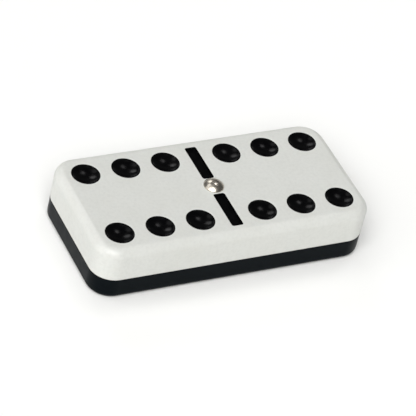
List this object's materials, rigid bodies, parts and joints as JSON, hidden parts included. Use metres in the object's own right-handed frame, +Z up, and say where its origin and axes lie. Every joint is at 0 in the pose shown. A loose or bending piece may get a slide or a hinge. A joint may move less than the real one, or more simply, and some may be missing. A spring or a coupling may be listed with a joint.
{
  "type": "domino tile",
  "caption": "Rounded rectangular domino tile: a white face layer bonded to a black back, with enamelled dished pips, an engraved divider and a domed metal spinner pin.",
  "frame": {"origin": "centre of the flat underside, on the surface the tile lies on", "axes": "+X along the tile from the left half to the right half, +Y across it, +Z up through the pip face"},
  "size_m": [0.05, 0.024, 0.011],
  "materials": {
    "ivory_white_resin": "white urea resin, moulded and tumble-polished to a soft satin",
    "black_resin": "black urea resin, moulded and tumble-polished",
    "black_enamel": "black enamel, glossy, wiped flush at its rim",
    "nickel_plate": "nickel plate over brass, polished, slightly warm"
  },
  "bodies": {
    "root": {"back_slab": "black_resin", "face_slab": "ivory_white_resin", "spinner_pin": "nickel_plate", "divider_bar_front": "black_enamel", "divider_bar_rear": "black_enamel", "pip_left_1": "black_enamel", "pip_left_2": "black_enamel", "pip_left_3": "black_enamel", "pip_left_4": "black_enamel", "pip_left_5": "black_enamel", "pip_left_6": "black_enamel", "pip_right_1": "black_enamel", "pip_right_2": "black_enamel", "pip_right_3": "black_enamel", "pip_right_4": "black_enamel", "pip_right_5": "black_enamel", "pip_right_6": "black_enamel"}
  },
  "joints": []
}
